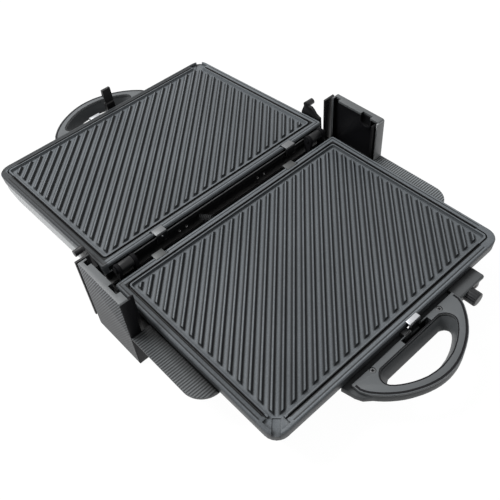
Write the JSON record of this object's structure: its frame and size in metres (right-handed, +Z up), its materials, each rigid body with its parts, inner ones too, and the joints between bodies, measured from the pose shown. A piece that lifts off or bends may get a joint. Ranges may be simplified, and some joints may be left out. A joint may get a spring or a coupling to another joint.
{
  "type": "contact grill",
  "caption": "Contact grill opened flat: ribbed base and lid plates, floating hinge between side towers, D handles, hook lock and thermostat knob.",
  "frame": {"origin": "on the floor under the middle of the open grill's bounding box", "axes": "+X along the hinge towards the control box's end of the front, +Y from the base towards the opened lid, +Z up"},
  "size_m": [0.363, 0.599, 0.0983],
  "materials": {
    "plate_coating": "dark grey non-stick coating over die-cast aluminium",
    "grey_plastic": "satin",
    "black_plastic": "satin",
    "silver_housing": "silver paint",
    "bright_steel": "bright",
    "dull_steel": "dull",
    "dark_steel": "blackened, dull",
    "rubber": "matt",
    "lamp_lens": "clear gloss"
  },
  "bodies": {
    "base": {"base_plate": "plate_coating", "base_plate_clip_1": "dull_steel", "base_plate_clip_2": "dull_steel", "base_frame": "black_plastic", "base_reflector": "dull_steel", "base_heater": "dull_steel", "base_handle_face": "grey_plastic", "base_handle_grip": "grey_plastic", "base_handle_screw_1": "bright_steel", "base_handle_screw_2": "bright_steel", "control_box": "grey_plastic", "thermostat_case": "dull_steel", "pilot_lamp": "lamp_lens", "base_shell": "black_plastic", "side_cover_left": "grey_plastic", "tower_liner_left": "black_plastic", "foot_left_1": "rubber", "foot_left_2": "rubber", "side_cover_right": "grey_plastic", "tower_liner_right": "black_plastic", "foot_right_1": "rubber", "foot_right_2": "rubber", "cord_gland": "rubber"},
    "hinge_carriage": {"hinge_carriage": "black_plastic", "hinge_pin_left": "dark_steel", "hinge_pin_right": "dark_steel", "wire_guard": "bright_steel"},
    "lid": {"lid_plate": "plate_coating", "lid_plate_clip_1": "dull_steel", "lid_plate_clip_2": "dull_steel", "lid_frame": "black_plastic", "lid_reflector": "dull_steel", "lid_heater": "dull_steel", "lid_handle_face": "grey_plastic", "lid_handle_grip": "grey_plastic", "lid_handle_screw_1": "bright_steel", "lid_handle_screw_2": "bright_steel", "lid_shell": "silver_housing", "hinge_arm_left": "black_plastic", "lid_horn_left": "black_plastic", "hinge_arm_right": "black_plastic", "lid_horn_right": "black_plastic", "lock_hook_pin": "bright_steel"},
    "lock_hook": {"lock_hook": "black_plastic"},
    "thermostat_knob": {"thermostat_knob": "black_plastic", "thermostat_shaft": "bright_steel"},
    "base_plate_catch": {"base_plate_catch": "bright_steel"},
    "lid_plate_catch": {"lid_plate_catch": "bright_steel"}
  },
  "joints": [
    {"name": "hinge_float", "type": "slide", "parent": "base", "child": "hinge_carriage", "axis": [0, 0, 1], "range_m": [0, 0.018]},
    {"name": "lid_hinge", "type": "hinge", "parent": "hinge_carriage", "child": "lid", "pos_m": [0, 0.00064, 0.0632], "axis": [1, 0, 0], "range_deg": [0, 183.6]},
    {"name": "lock_hook_swing", "type": "hinge", "parent": "lid", "child": "lock_hook", "pos_m": [0.013, 0.24958, 0.0295], "axis": [1, 0, 0], "range_deg": [0, 2], "stiffness_Nm_per_rad": 0.2},
    {"name": "thermostat_knob_turn", "type": "hinge", "parent": "base", "child": "thermostat_knob", "pos_m": [0.0895, -0.25162, 0.038], "axis": [0, -1, 0], "range_deg": [0, 270]},
    {"name": "base_plate_catch_slide", "type": "slide", "parent": "base", "child": "base_plate_catch", "axis": [0, -1, 0], "range_m": [0, 0.0016], "stiffness_N_per_m": 600},
    {"name": "lid_plate_catch_slide", "type": "slide", "parent": "lid", "child": "lid_plate_catch", "axis": [0, 0.998, -0.0628], "range_m": [0, 0.0016], "stiffness_N_per_m": 600}
  ]
}
